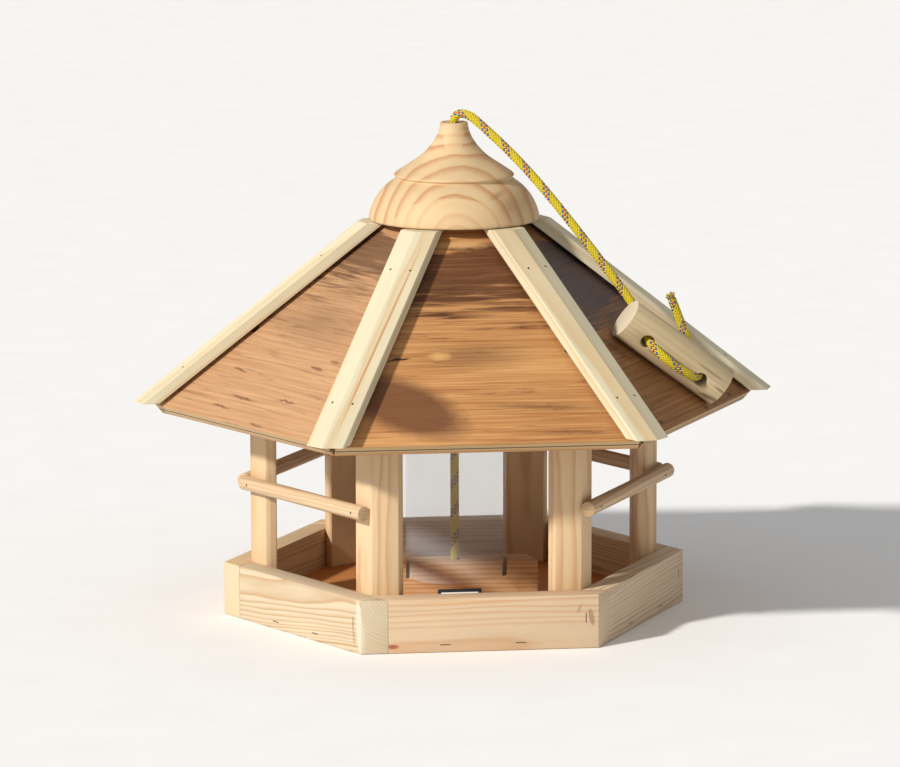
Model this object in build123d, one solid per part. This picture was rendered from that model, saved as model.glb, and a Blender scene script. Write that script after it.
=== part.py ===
from build123d import *
import math
import os

# Hexagonal hanging bird feeder. Millimetres, +Z up, origin at the centre of the tray's underside,
# front side facing -Y. Sides and corners are named as they are seen by someone facing the front.

# tray
TRAY_SIDE = 158.0
BOARD_HEIGHT = 36.0
BOARD_THICKNESS = 16.0
FLOOR_THICKNESS = 9.0

# corner posts
POST_WIDTH = 31.0
POST_DEPTH = 16.6

# perches
PERCH_DIAMETER = 10.0
PERCH_HEIGHT = 91.0
PERCH_NAIL_FROM_CORNER = 9.8
NAIL_DIAMETER = 1.8
PERCH_NAIL_LENGTH = 22.0

# roof panels: the pitch is given by the fall of the hip line over its horizontal run
HIP_FALL = 0.785
EAVE_OVERHANG = 47.4
EAVE_HEIGHT = 146.2
PANEL_THICKNESS = 9.0
ROOF_OPENING_APOTHEM = 44.0

# hip battens
BATTEN_WIDTH = 26.0
BATTEN_SIDE_HEIGHT = 7.5
BATTEN_RIDGE_RISE = 3.0
BATTEN_TOP_BELOW_APEX = 39.439
BATTEN_TIP_ABOVE_EAVE = 1.8
BATTEN_NAIL_RADII = (91.0, 185.0)
BATTEN_NAIL_OFFSET = 7.0
BATTEN_NAIL_LENGTH = 18.0

# hidden screws that hold the roof and the floor to the posts
SCREW_DIAMETER = 3.5
SCREW_HEAD_DIAMETER = 7.0
SCREW_HEAD_HEIGHT = 2.5
ROOF_SCREW_LENGTH = 18.0
ROOF_SCREW_FROM_HIP = 5.5
ROOF_SCREW_BEYOND_POST_CORNER = 1.0
FLOOR_SCREW_LENGTH = 32.0
FLOOR_SCREW_BEHIND_CORNER = 10.5

# staples
STAPLE_WIRE = 1.1
STAPLE_CROWN = 7.5
STAPLE_LEG = 25.0
CORNER_STAPLE_FROM_END = 8.6
CORNER_STAPLE_HEIGHT = 20.5
FLOOR_STAPLE_HEIGHT = 5.0

# seed tube and the bar that it stands in
TUBE_DIAMETER = 70.6
TUBE_WALL = 2.0
TUBE_BELOW_CAP = 6.4
TUBE_FOOT_GAP = 0.3
BAR_LENGTH = 112.0
BAR_WIDTH = 20.0
BAR_HEIGHT = 24.7
BAR_END_SLANT = 6.0
KERF_DEPTH = 10.8
KERF_CLEARANCE = 0.5
BAR_SCREW_SPACING = 90.0
BAR_SCREW_LENGTH = 25.0

# turned cap: radius and height above its seat, from the rope hole out to the rim
CAP_HEIGHT = 66.0
CAP_SEAT_GAP = 0.3
CAP_PROFILE = (
    (9.4, 66.0),
    (9.5, 64.5),
    (10.1, 59.9),
    (12.1, 55.2),
    (16.2, 49.1),
    (22.9, 42.3),
    (29.7, 38.2),
    (36.4, 33.7),
    (39.2, 31.6),
    (40.3, 30.0),
    (39.6, 28.0),
    (41.0, 26.0),
    (47.0, 22.5),
    (52.5, 16.0),
    (56.0, 9.0),
    (57.7, 2.5),
    (57.8, 0.0),
)

# rope and its knot
ROPE_DIAMETER = 6.0
ROPE_HOLE_CLEARANCE = 0.6
KNOT_BEYOND_ROPE = 8.6
KNOT_HEIGHT = 12.6
KNOT_ROUNDING = 4.5
KNOT_CAVITY_DEPTH = 10.0
KNOT_CLEARANCE = 0.7
KNOT_TOP_GAP = 0.2

# toggle, lying on the front-right roof panel
TOGGLE_DIAMETER = 28.0
TOGGLE_LENGTH = 82.0
TOGGLE_HOLE_DIAMETER = 9.5
TOGGLE_HOLE_SPACING = 45.0
TOGGLE_HOLE_CHAMFER = 1.0
TOGGLE_ROOF_GAP = 0.3
TOGGLE_ACROSS_PANEL = 6.7
TOGGLE_BELOW_APEX = 197.2
TOGGLE_TURN = 28.1
TOGGLE_HOLE_TILT = 3.0

# free rope: vertical plane in which it hangs, the reach of its bends beyond the toggle's surface, its
# points in that plane (distance out, height above the cap's top) and the tail's, from the last bend
ROPE_PLANE_AZIMUTH = -24.3
ROPE_BEND_BEYOND_TOGGLE = 6.0
ROPE_POINTS = (
    (0.0, 0.0),
    (0.0, 9.0),
    (6.0, 14.6),
    (15.0, 11.0),
    (25.5, -2.0),
    (43.0, -21.5),
    (64.0, -43.6),
)
TAIL_POINTS = ((-8.4, 7.63, 17.19), (-12.1, 9.13, 28.69), (-16.4, 8.63, 39.19))
TOGGLE_BEND_RADIUS = 6.0

# blank card fixed inside the front board
LABEL_WIDTH = 29.0
LABEL_CENTRE_X = -11.5
LABEL_THICKNESS = 0.6
LABEL_TOP_ABOVE_RIM = 2.8
LABEL_HEIGHT = 24.0

SIDES = {
    "front": 270.0,
    "front_right": 330.0,
    "back_right": 30.0,
    "back": 90.0,
    "back_left": 150.0,
    "front_left": 210.0,
}
CORNERS = {
    "front_left": 240.0,
    "front_right": 300.0,
    "right": 0.0,
    "back_right": 60.0,
    "back_left": 120.0,
    "left": 180.0,
}
# how far each perch's two ends run past (+) or stop short of (-) the posts' outer corners
PERCH_ENDS = {
    "front_left": (0.0, -1.8),
    "front_right": (2.2, 7.6),
    "back_right": (-4.2, -0.4),
    "back_left": (-0.4, -0.4),
}
# distances of the floor staples along each board from its middle
FLOOR_STAPLES = {
    "front": (-23.0, 27.0),
    "front_right": (-21.0, 35.5),
    "back_right": (-18.0, 27.0),
    "back": (-18.0, 27.0),
    "back_left": (-18.0, 27.0),
    "front_left": (-18.0, 27.0),
}

# derived values
TAN_30 = math.tan(math.radians(30))
COS_30 = math.cos(math.radians(30))
TRAY_APOTHEM = TRAY_SIDE * COS_30
INNER_APOTHEM = TRAY_APOTHEM - BOARD_THICKNESS
INNER_HALF_SIDE = INNER_APOTHEM * TAN_30
INNER_CORNER = INNER_APOTHEM / COS_30
PANEL_PITCH = math.atan(HIP_FALL / COS_30)
HIP_PITCH = math.atan(HIP_FALL)
EAVE_CORNER = TRAY_SIDE + EAVE_OVERHANG
APEX_HEIGHT = EAVE_HEIGHT + HIP_FALL * EAVE_CORNER
PANEL_HALF_ANGLE = math.atan(TAN_30 * math.cos(PANEL_PITCH))
PANEL_EDGE_SHIFT = PANEL_THICKNESS * math.tan(PANEL_PITCH)
HIP_DIP = math.asin(math.sin(PANEL_PITCH) / 2)
BATTEN_SEAT = -PANEL_EDGE_SHIFT * math.sin(PANEL_HALF_ANGLE) * math.sin(HIP_DIP)
BATTEN_TOP_HEIGHT = APEX_HEIGHT - BATTEN_TOP_BELOW_APEX
CAP_SEAT = BATTEN_TOP_HEIGHT + CAP_SEAT_GAP
CAP_TOP = CAP_SEAT + CAP_HEIGHT
BAR_TOP = FLOOR_THICKNESS + BAR_HEIGHT
TUBE_FOOT = BAR_TOP - KERF_DEPTH + TUBE_FOOT_GAP
TUBE_TOP = CAP_SEAT - TUBE_BELOW_CAP
KNOT_TOP = FLOOR_THICKNESS + KNOT_CAVITY_DEPTH - KNOT_TOP_GAP
KNOT_DIAMETER = ROPE_DIAMETER + KNOT_BEYOND_ROPE
ROPE_BEND_REACH = TOGGLE_DIAMETER / 2 + ROPE_BEND_BEYOND_TOGGLE
ROOF_SCREW_RADIUS = INNER_CORNER + ROOF_SCREW_BEYOND_POST_CORNER


def direction(azimuth: float) -> Vector:
    """Horizontal unit vector at an azimuth in degrees, counted from +X."""
    return Vector(math.cos(math.radians(azimuth)), math.sin(math.radians(azimuth)), 0)


def side_plane(azimuth: float, height: float = 0.0) -> Plane:
    """Horizontal plane whose X axis points out at an azimuth."""
    return Plane(origin=(0, 0, height), x_dir=direction(azimuth), z_dir=(0, 0, 1))


def outward_plane(azimuth: float, distance: float, along: float, height: float) -> Plane:
    """Vertical plane facing out, its X axis running to the right as seen from outside."""
    out = direction(azimuth)
    right = direction(azimuth + 90)
    return Plane(origin=out * distance + right * along + Vector(0, 0, height), x_dir=right, z_dir=out)


def panel_plane(azimuth: float, below_apex: float = 0.0, across: float = 0.0, lift: float = 0.0) -> Plane:
    """Plane of a roof panel's top face: Z out of the roof, Y up the slope."""
    out = direction(azimuth)
    right = direction(azimuth + 90)
    down = out * math.cos(PANEL_PITCH) - Vector(0, 0, math.sin(PANEL_PITCH))
    normal = out * math.sin(PANEL_PITCH) + Vector(0, 0, math.cos(PANEL_PITCH))
    origin = Vector(0, 0, APEX_HEIGHT) + down * below_apex + right * across + normal * lift
    return Plane(origin=origin, x_dir=right, z_dir=normal)


def hip_frame(azimuth: float) -> tuple[Vector, Vector, Vector]:
    """Unit vectors of a hip line: down the line, square to it and upward, and to the side."""
    out = direction(azimuth)
    down = out * math.cos(HIP_PITCH) - Vector(0, 0, math.sin(HIP_PITCH))
    up = out * math.sin(HIP_PITCH) + Vector(0, 0, math.cos(HIP_PITCH))
    return down, up, direction(azimuth + 90)


def prism(plane: Plane, points: list, amount: float) -> Solid:
    """Solid of a closed outline drawn on a plane and pushed along the plane's normal."""
    with BuildPart() as build:
        with BuildSketch(plane):
            with BuildLine():
                Polyline(*points, close=True)
            make_face()
        extrude(amount=amount)
    return build.part.solid()


def rod(start: Vector, along: Vector, diameter: float, length: float) -> Solid:
    """Round bar from a point along a direction."""
    return Solid.make_cylinder(diameter / 2, length, Plane(origin=start, z_dir=along))


def screw(start: Vector, along: Vector, length: float) -> Solid:
    """Countersunk screw whose head is flush with the surface at its start point."""
    plane = Plane(origin=start, z_dir=along)
    head = Solid.make_cone(SCREW_HEAD_DIAMETER / 2, SCREW_DIAMETER / 2, SCREW_HEAD_HEIGHT, plane)
    return head.fuse(rod(start, along, SCREW_DIAMETER, length)).solid()


def staple(plane: Plane, upright: bool) -> Solid:
    """Driven staple, its crown flush with the plane and its legs behind it."""
    half = STAPLE_CROWN / 2
    wire = STAPLE_WIRE
    with BuildPart() as build:
        with BuildSketch(plane):
            if upright:
                Rectangle(wire, STAPLE_CROWN)
            else:
                Rectangle(STAPLE_CROWN, wire)
        extrude(amount=-wire)
        with BuildSketch(plane):
            for step in (-1, 1):
                offset = step * (half - wire / 2)
                place = (0, offset) if upright else (offset, 0)
                with Locations(place):
                    Rectangle(wire, wire)
        extrude(amount=-STAPLE_LEG)
    return build.part.solid()


def tray_floor() -> Part:
    """Hexagonal plywood floor with the hole that the rope's knot is reached through."""
    points = []
    for azimuth in CORNERS.values():
        points.append(tuple(direction(azimuth) * INNER_CORNER)[:2])
    floor = prism(Plane.XY, sorted(points, key=lambda p: math.atan2(p[1], p[0])), FLOOR_THICKNESS)
    access = KNOT_DIAMETER + 2 * KNOT_CLEARANCE + 1
    return floor - Pos(0, 0, FLOOR_THICKNESS / 2) * Cylinder(access / 2, FLOOR_THICKNESS)


def tray_board(azimuth: float) -> Solid:
    """Side board: one end covers the next board's end, the other butts behind its neighbour."""
    half = TRAY_SIDE / 2
    lap = BOARD_THICKNESS / math.sqrt(3)
    points = [
        (TRAY_APOTHEM, half),
        (INNER_APOTHEM, half + lap),
        (INNER_APOTHEM, lap - half),
        (TRAY_APOTHEM, 2 * lap - half),
    ]
    return prism(side_plane(azimuth), points, BOARD_HEIGHT)


def corner_post(azimuth: float) -> Solid:
    """Five-sided post in a tray corner, its top cut to the undersides of two roof panels."""
    half = POST_WIDTH / 2
    shoulder = INNER_CORNER - half * TAN_30
    back = INNER_CORNER - POST_DEPTH
    points = [(INNER_CORNER, 0), (shoulder, half), (back, half), (back, -half), (shoulder, -half)]
    rise = APEX_HEIGHT - FLOOR_THICKNESS
    post = prism(side_plane(azimuth, FLOOR_THICKNESS), points, rise)
    for side in (azimuth - 30, azimuth + 30):
        underside = panel_plane(side, lift=-PANEL_THICKNESS)
        post = split(post, bisect_by=underside, keep=Keep.BOTTOM)
    return post


def perch(name: str) -> Solid:
    """Round perch nailed across two posts."""
    azimuth = SIDES[name]
    first, last = PERCH_ENDS[name]
    start = -INNER_HALF_SIDE - first
    length = 2 * INNER_HALF_SIDE + first + last
    centre = direction(azimuth) * (INNER_APOTHEM + PERCH_DIAMETER / 2) + Vector(0, 0, PERCH_HEIGHT)
    along = direction(azimuth + 90)
    return rod(centre + along * start, along, PERCH_DIAMETER, length)


def perch_nails() -> list:
    """Two nails through each perch into the posts."""
    nails = []
    for name in PERCH_ENDS:
        azimuth = SIDES[name]
        for step in (-1, 1):
            along = step * (INNER_HALF_SIDE - PERCH_NAIL_FROM_CORNER)
            face = outward_plane(azimuth, INNER_APOTHEM + PERCH_DIAMETER, along, PERCH_HEIGHT)
            nails.append(rod(face.origin, face.z_dir * -1, NAIL_DIAMETER, PERCH_NAIL_LENGTH))
    return nails


def roof_panel(azimuth: float) -> Solid:
    """Square-edged plywood panel; neighbouring panels meet along their lower edges."""
    top = ROOF_OPENING_APOTHEM / math.cos(PANEL_PITCH)
    foot = EAVE_CORNER * COS_30 / math.cos(PANEL_PITCH)
    top_half = (top - PANEL_EDGE_SHIFT) * math.tan(PANEL_HALF_ANGLE)
    foot_half = (foot - PANEL_EDGE_SHIFT) * math.tan(PANEL_HALF_ANGLE)
    points = [(-foot_half, -foot), (foot_half, -foot), (top_half, -top), (-top_half, -top)]
    return prism(panel_plane(azimuth), points, -PANEL_THICKNESS)


def roof_batten(azimuth: float) -> Solid:
    """Hip batten with two shallow facets, cut level at both ends."""
    down, up, right = hip_frame(azimuth)
    section = Plane(origin=Vector(0, 0, APEX_HEIGHT), x_dir=right, z_dir=down)
    turn = 1 if section.y_dir.dot(up) > 0 else -1
    half = BATTEN_WIDTH / 2
    side = BATTEN_SEAT + BATTEN_SIDE_HEIGHT
    points = [(-half, BATTEN_SEAT), (half, BATTEN_SEAT), (half, side), (0, side + BATTEN_RIDGE_RISE), (-half, side)]
    outline = [(x, turn * y) for x, y in points]
    batten = prism(section, outline, 2 * EAVE_CORNER)
    tip = EAVE_HEIGHT + BATTEN_TIP_ABOVE_EAVE
    level = BATTEN_TOP_HEIGHT - tip
    reach = 4 * EAVE_CORNER
    return (batten & Pos(0, 0, tip + level / 2) * Box(reach, reach, level)).solid()


def batten_nails() -> list:
    """Two pairs of nails through each batten into the two panels that it covers."""
    nails = []
    slope = BATTEN_RIDGE_RISE / (BATTEN_WIDTH / 2)
    crown = BATTEN_SEAT + BATTEN_SIDE_HEIGHT + BATTEN_RIDGE_RISE - slope * BATTEN_NAIL_OFFSET
    for azimuth in CORNERS.values():
        down, up, right = hip_frame(azimuth)
        for radius in BATTEN_NAIL_RADII:
            distance = (radius - crown * math.sin(HIP_PITCH)) / math.cos(HIP_PITCH)
            for step in (-1, 1):
                start = Vector(0, 0, APEX_HEIGHT) + down * distance + up * crown
                start = start + right * (step * BATTEN_NAIL_OFFSET)
                nails.append(rod(start, up * -1, NAIL_DIAMETER, BATTEN_NAIL_LENGTH))
    return nails


def roof_screws() -> list:
    """Two screws at each post, one through each panel, hidden under the batten."""
    screws = []
    for azimuth in CORNERS.values():
        for step in (-1, 1):
            side = azimuth + 30 * step
            apothem = ROOF_SCREW_RADIUS * COS_30
            below = apothem / math.cos(PANEL_PITCH)
            across = (below - PANEL_EDGE_SHIFT) * math.tan(PANEL_HALF_ANGLE) - ROOF_SCREW_FROM_HIP
            plane = panel_plane(side, below, -step * across)
            screws.append(screw(plane.origin, plane.z_dir * -1, ROOF_SCREW_LENGTH))
    return screws


def floor_screws() -> list:
    """One screw up through the floor into each post."""
    screws = []
    for azimuth in CORNERS.values():
        start = direction(azimuth) * (INNER_CORNER - FLOOR_SCREW_BEHIND_CORNER)
        screws.append(screw(start, Vector(0, 0, 1), FLOOR_SCREW_LENGTH))
    return screws


def corner_staples() -> list:
    """One upright staple near the covering end of each board."""
    staples = []
    for azimuth in SIDES.values():
        along = TRAY_SIDE / 2 - CORNER_STAPLE_FROM_END
        plane = outward_plane(azimuth, TRAY_APOTHEM, along, CORNER_STAPLE_HEIGHT)
        staples.append(staple(plane, True))
    return staples


def floor_staples() -> list:
    """Level staples through the boards into the edge of the floor."""
    staples = []
    for name, places in FLOOR_STAPLES.items():
        for along in places:
            plane = outward_plane(SIDES[name], TRAY_APOTHEM, along, FLOOR_STAPLE_HEIGHT)
            staples.append(staple(plane, False))
    return staples


def silo_tube() -> Part:
    """Clear seed tube, open at both ends."""
    radius = TUBE_DIAMETER / 2
    height = TUBE_TOP - TUBE_FOOT
    ring = Cylinder(radius, height) - Cylinder(radius - TUBE_WALL, height)
    return Pos(0, 0, TUBE_FOOT + height / 2) * ring


def tube_holder_bar() -> Part:
    """Bar across the floor: two curved kerfs for the tube, a rope hole and a cavity for the knot."""
    front = BAR_LENGTH / 2
    back = front - BAR_END_SLANT
    half = BAR_WIDTH / 2
    points = [(-front, -half), (front, -half), (back, half), (-back, half)]
    bar = prism(Plane.XY.offset(FLOOR_THICKNESS), points, BAR_HEIGHT)
    outer = TUBE_DIAMETER / 2 + KERF_CLEARANCE
    inner = TUBE_DIAMETER / 2 - TUBE_WALL - KERF_CLEARANCE
    kerf = Cylinder(outer, KERF_DEPTH) - Cylinder(inner, KERF_DEPTH)
    bar = bar - Pos(0, 0, BAR_TOP - KERF_DEPTH / 2) * kerf
    hole = ROPE_DIAMETER / 2 + ROPE_HOLE_CLEARANCE
    bar = bar - Pos(0, 0, FLOOR_THICKNESS + BAR_HEIGHT / 2) * Cylinder(hole, BAR_HEIGHT)
    cavity = KNOT_DIAMETER / 2 + KNOT_CLEARANCE
    return bar - Pos(0, 0, FLOOR_THICKNESS + KNOT_CAVITY_DEPTH / 2) * Cylinder(cavity, KNOT_CAVITY_DEPTH)


def holder_screws() -> list:
    """Two screws up through the floor into the bar."""
    screws = []
    for step in (-1, 1):
        start = Vector(step * BAR_SCREW_SPACING / 2, 0, 0)
        screws.append(screw(start, Vector(0, 0, 1), BAR_SCREW_LENGTH))
    return screws


def rope_knot() -> Part:
    """Rounded body of the stopper knot under the bar."""
    knot = Cylinder(KNOT_DIAMETER / 2, KNOT_HEIGHT)
    knot = fillet(knot.edges(), KNOT_ROUNDING)
    return Pos(0, 0, KNOT_TOP - KNOT_HEIGHT / 2) * knot


def inner_rope() -> Solid:
    """Rope from the knot up the middle of the tube to the top of the cap's hole."""
    return rod(Vector(0, 0, KNOT_TOP), Vector(0, 0, 1), ROPE_DIAMETER, CAP_TOP - KNOT_TOP)


def roof_cap() -> Part:
    """Turned cap that lies on the batten tops and slides up the rope."""
    hole = ROPE_DIAMETER / 2 + ROPE_HOLE_CLEARANCE
    points = [(hole, CAP_SEAT)]
    for radius, height in reversed(CAP_PROFILE):
        points.append((radius, CAP_SEAT + height * CAP_HEIGHT / CAP_PROFILE[0][1]))
    points.append((hole, CAP_TOP))
    with BuildPart() as build:
        with BuildSketch(Plane.XZ):
            with BuildLine():
                Polyline(*points, close=True)
            make_face()
        revolve(axis=Axis.Z)
    return build.part


def toggle_frame() -> Plane:
    """Frame of the toggle: X along it and down the roof, Z along its holes and out to the front."""
    lift = TOGGLE_DIAMETER / 2 + TOGGLE_ROOF_GAP
    panel = panel_plane(SIDES["front_right"], TOGGLE_BELOW_APEX, TOGGLE_ACROSS_PANEL, lift)
    turn = math.radians(TOGGLE_TURN)
    tilt = math.radians(TOGGLE_HOLE_TILT)
    along = panel.x_dir * math.sin(turn) - panel.y_dir * math.cos(turn)
    flat = panel.x_dir * -math.cos(turn) - panel.y_dir * math.sin(turn)
    hole = flat * math.cos(tilt) + panel.z_dir * math.sin(tilt)
    return Plane(origin=panel.origin, x_dir=along, z_dir=hole)


def toggle() -> Part:
    """Wooden toggle with two chamfered cross holes for the rope."""
    frame = toggle_frame()
    body = Rot(0, 90, 0) * Cylinder(TOGGLE_DIAMETER / 2, TOGGLE_LENGTH)
    radius = TOGGLE_HOLE_DIAMETER / 2
    for step in (-1, 1):
        place = Pos(step * TOGGLE_HOLE_SPACING / 2, 0, 0)
        body = body - place * Cylinder(radius, TOGGLE_DIAMETER)
        for way in (-1, 1):
            depth = radius + TOGGLE_HOLE_CHAMFER
            mouth = Pos(0, 0, way * (TOGGLE_DIAMETER / 2 - depth / 2)) * Rot(0, 90 - 90 * way, 0)
            body = body - place * mouth * Cone(0, depth, depth)
    return frame.location * body


def rope_route() -> tuple[list, list]:
    """Corner points of the free rope's centreline and the bend radius at each inner point."""
    out = direction(ROPE_PLANE_AZIMUTH)
    points = []
    for distance, height in ROPE_POINTS:
        points.append(out * distance + Vector(0, 0, CAP_TOP + height))
    frame = toggle_frame()
    first = frame.origin - frame.x_dir * (TOGGLE_HOLE_SPACING / 2)
    second = frame.origin + frame.x_dir * (TOGGLE_HOLE_SPACING / 2)
    reach = frame.z_dir * ROPE_BEND_REACH
    bends = [first - reach, first + reach, second + reach, second - reach]
    middle = (points[-1] + bends[0]) * 0.5 + Vector(0, 0, 1.2)
    points.append(middle)
    tight = range(len(points), len(points) + len(bends))
    points.extend(bends)
    for point in TAIL_POINTS:
        points.append(bends[-1] + Vector(*point))
    radii = []
    for index in range(1, len(points) - 1):
        before = points[index] - points[index - 1]
        after = points[index + 1] - points[index]
        turn = math.radians(before.get_angle(after))
        radius = 0.45 * min(before.length, after.length) / math.tan(turn / 2)
        if index in tight:
            radius = min(radius, TOGGLE_BEND_RADIUS)
        radii.append(radius)
    return points, radii


def hanging_rope() -> Solid:
    """Free rope from the cap, through the toggle's two holes, to its loose end."""
    points, radii = rope_route()
    with BuildPart() as build:
        with BuildLine() as path:
            FilletPolyline(*points, radius=radii)
        start = path.line @ 0
        with BuildSketch(Plane(origin=start, z_dir=path.line % 0)):
            Circle(ROPE_DIAMETER / 2)
        sweep()
    length = sum(edge.length for edge in path.edges())
    section = math.pi * ROPE_DIAMETER**2 / 4
    print("free rope length", round(length, 1))
    print("free rope radii", [round(radius, 1) for radius in radii])
    print("free rope runs", [round((points[i + 1] - points[i]).length, 1) for i in range(len(points) - 1)])
    print("free rope volume", round(build.part.volume, 1), "section x length", round(section * length, 1))
    for point in points:
        print("free rope point", [round(value, 2) for value in point])
    return build.part.solid()


def blank_label() -> Solid:
    """Blank card on the inner face of the front board."""
    top = BOARD_HEIGHT + LABEL_TOP_ABOVE_RIM
    centre = Vector(LABEL_CENTRE_X, LABEL_THICKNESS / 2 - INNER_APOTHEM, top - LABEL_HEIGHT / 2)
    return (Pos(*centre) * Box(LABEL_WIDTH, LABEL_THICKNESS, LABEL_HEIGHT)).solid()


def write(name: str, shape) -> None:
    """Write one node: a single solid, or a compound of separate like pieces."""
    if isinstance(shape, list):
        shape = Compound(children=shape)
    export_step(shape, f"parts/{name}.step")


def main() -> None:
    """Build every node and write it to its own STEP file."""
    os.makedirs("parts", exist_ok=True)
    write("tray_floor", tray_floor())
    for name, azimuth in SIDES.items():
        write(f"tray_board_{name}", tray_board(azimuth))
        write(f"roof_panel_{name}", roof_panel(azimuth))
    for name, azimuth in CORNERS.items():
        write(f"corner_post_{name}", corner_post(azimuth))
        write(f"roof_batten_{name}", roof_batten(azimuth))
    for name in PERCH_ENDS:
        write(f"perch_{name}", perch(name))
    write("perch_nails", perch_nails())
    write("batten_nails", batten_nails())
    write("roof_screws", roof_screws())
    write("floor_screws", floor_screws())
    write("corner_staples", corner_staples())
    write("floor_staples", floor_staples())
    write("silo_tube", silo_tube())
    write("tube_holder_bar", tube_holder_bar())
    write("holder_screws", holder_screws())
    write("rope_knot", rope_knot())
    write("inner_rope", inner_rope())
    write("roof_cap", roof_cap())
    write("toggle", toggle())
    write("hanging_rope", hanging_rope())
    write("blank_label", blank_label())


main()
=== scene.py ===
"""Looks of a six-sided hanging bird feeder: woods, braided rope, clear seed tube, light and camera."""

import logging
import math
import random
from dataclasses import dataclass, field
from enum import Enum

import bmesh
import bpy
from mathutils import Matrix, Vector


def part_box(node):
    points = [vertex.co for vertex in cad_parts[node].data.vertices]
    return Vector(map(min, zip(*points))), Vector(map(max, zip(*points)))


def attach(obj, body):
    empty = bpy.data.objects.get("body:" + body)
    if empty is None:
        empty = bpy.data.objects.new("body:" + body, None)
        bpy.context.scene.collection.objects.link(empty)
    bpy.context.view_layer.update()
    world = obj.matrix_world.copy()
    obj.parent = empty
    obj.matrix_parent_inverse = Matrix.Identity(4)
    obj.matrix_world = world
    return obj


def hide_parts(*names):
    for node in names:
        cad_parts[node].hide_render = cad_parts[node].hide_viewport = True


LOG = logging.getLogger("feeder")
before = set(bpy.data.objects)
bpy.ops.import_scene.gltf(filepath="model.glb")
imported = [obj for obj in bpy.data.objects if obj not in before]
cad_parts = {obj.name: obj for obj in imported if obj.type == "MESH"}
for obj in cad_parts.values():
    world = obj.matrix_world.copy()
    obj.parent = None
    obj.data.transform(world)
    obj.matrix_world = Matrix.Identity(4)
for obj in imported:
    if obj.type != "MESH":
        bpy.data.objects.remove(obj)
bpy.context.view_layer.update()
MM = 0.001
ORIGIN = Vector((0.0, 0.0, 0.0))
X_AXIS = Vector((1.0, 0.0, 0.0))
Y_AXIS = Vector((0.0, 1.0, 0.0))
UP = Vector((0.0, 0.0, 1.0))

TEXCOORD = "ShaderNodeTexCoord"
MAPPING = "ShaderNodeMapping"
NOISE = "ShaderNodeTexNoise"
GRADIENT = "ShaderNodeTexGradient"
RAMP = "ShaderNodeValToRGB"
MATH = "ShaderNodeMath"
VECTOR = "ShaderNodeVectorMath"
MIX = "ShaderNodeMix"
SPLIT = "ShaderNodeSeparateXYZ"
BUMP = "ShaderNodeBump"
PRINCIPLED = "ShaderNodeBsdfPrincipled"
OUTPUT = "ShaderNodeOutputMaterial"

Socket = bpy.types.NodeSocket
Material = bpy.types.Material
Piece = bpy.types.Object


class Body(Enum):
    """The bodies that the pieces ride on."""

    FRAME = "frame"
    TUBE = "seed_tube"
    CAP = "cap"


class Side(Enum):
    """The six sides, each with the azimuth that it faces, in degrees."""

    FRONT = 270
    FRONT_RIGHT = 330
    BACK_RIGHT = 30
    BACK = 90
    BACK_LEFT = 150
    FRONT_LEFT = 210


class Corner(Enum):
    """The six corners, each with its azimuth in degrees."""

    FRONT_LEFT = 240
    FRONT_RIGHT = 300
    RIGHT = 0
    BACK_RIGHT = 60
    BACK_LEFT = 120
    LEFT = 180


def linear(code: str) -> tuple[float, float, float, float]:
    """Turn an sRGB hex colour into a linear colour.

    Args:
        code: colour such as "#F3E3C4".

    Returns:
        Linear red, green and blue, and an alpha of 1.
    """
    values = [int(code[i : i + 2], 16) / 255 for i in (1, 3, 5)]
    red, green, blue = [v / 12.92 if v <= 0.04045 else ((v + 0.055) / 1.055) ** 2.4 for v in values]
    return red, green, blue, 1.0


def direction(azimuth: float) -> Vector:
    """Horizontal unit vector at an azimuth in degrees."""
    return Vector((math.cos(math.radians(azimuth)), math.sin(math.radians(azimuth)), 0.0))


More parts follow.
